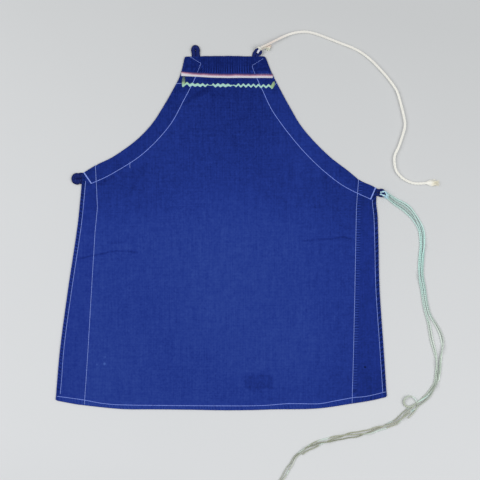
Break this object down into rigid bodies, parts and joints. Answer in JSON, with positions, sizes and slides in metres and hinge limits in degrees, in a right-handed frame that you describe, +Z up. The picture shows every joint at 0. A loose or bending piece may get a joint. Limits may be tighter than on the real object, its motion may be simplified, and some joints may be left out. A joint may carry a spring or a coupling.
{
  "type": "halter apron",
  "caption": "Flat halter apron of blue cotton cloth with curved armholes, a trimmed neck edge, corner loops, a cotton neck cord and a yarn waist tie.",
  "frame": {"origin": "on the table under the middle of the apron's box, measured without its two cords", "axes": "+X to the right and +Y towards the neck as seen from above, +Z up out of the table"},
  "size_m": [0.7681, 0.9099, 0.013],
  "materials": {
    "cloth": "woven matte",
    "side_cloth": "woven matte",
    "facing": "woven matte",
    "loop": "woven matte",
    "tape": "woven satin",
    "braid": "woven satin",
    "cotton_cord": "twisted matte",
    "yarn": "twisted matte"
  },
  "bodies": {
    "root": {"middle_panel": "cloth", "left_side_panel": "side_cloth", "right_side_panel": "side_cloth", "left_armhole_facing": "facing", "right_armhole_facing": "facing", "neck_facing": "facing", "neck_tape": "tape", "zigzag_braid": "braid", "neck_loop_left": "loop", "neck_loop_right": "loop", "waist_loop_left": "loop", "waist_loop_right": "loop", "neck_cord_hitch": "cotton_cord", "neck_cord": "cotton_cord", "neck_cord_frayed_end": "cotton_cord", "waist_tie_hitch": "yarn", "waist_tie": "yarn"}
  },
  "joints": []
}
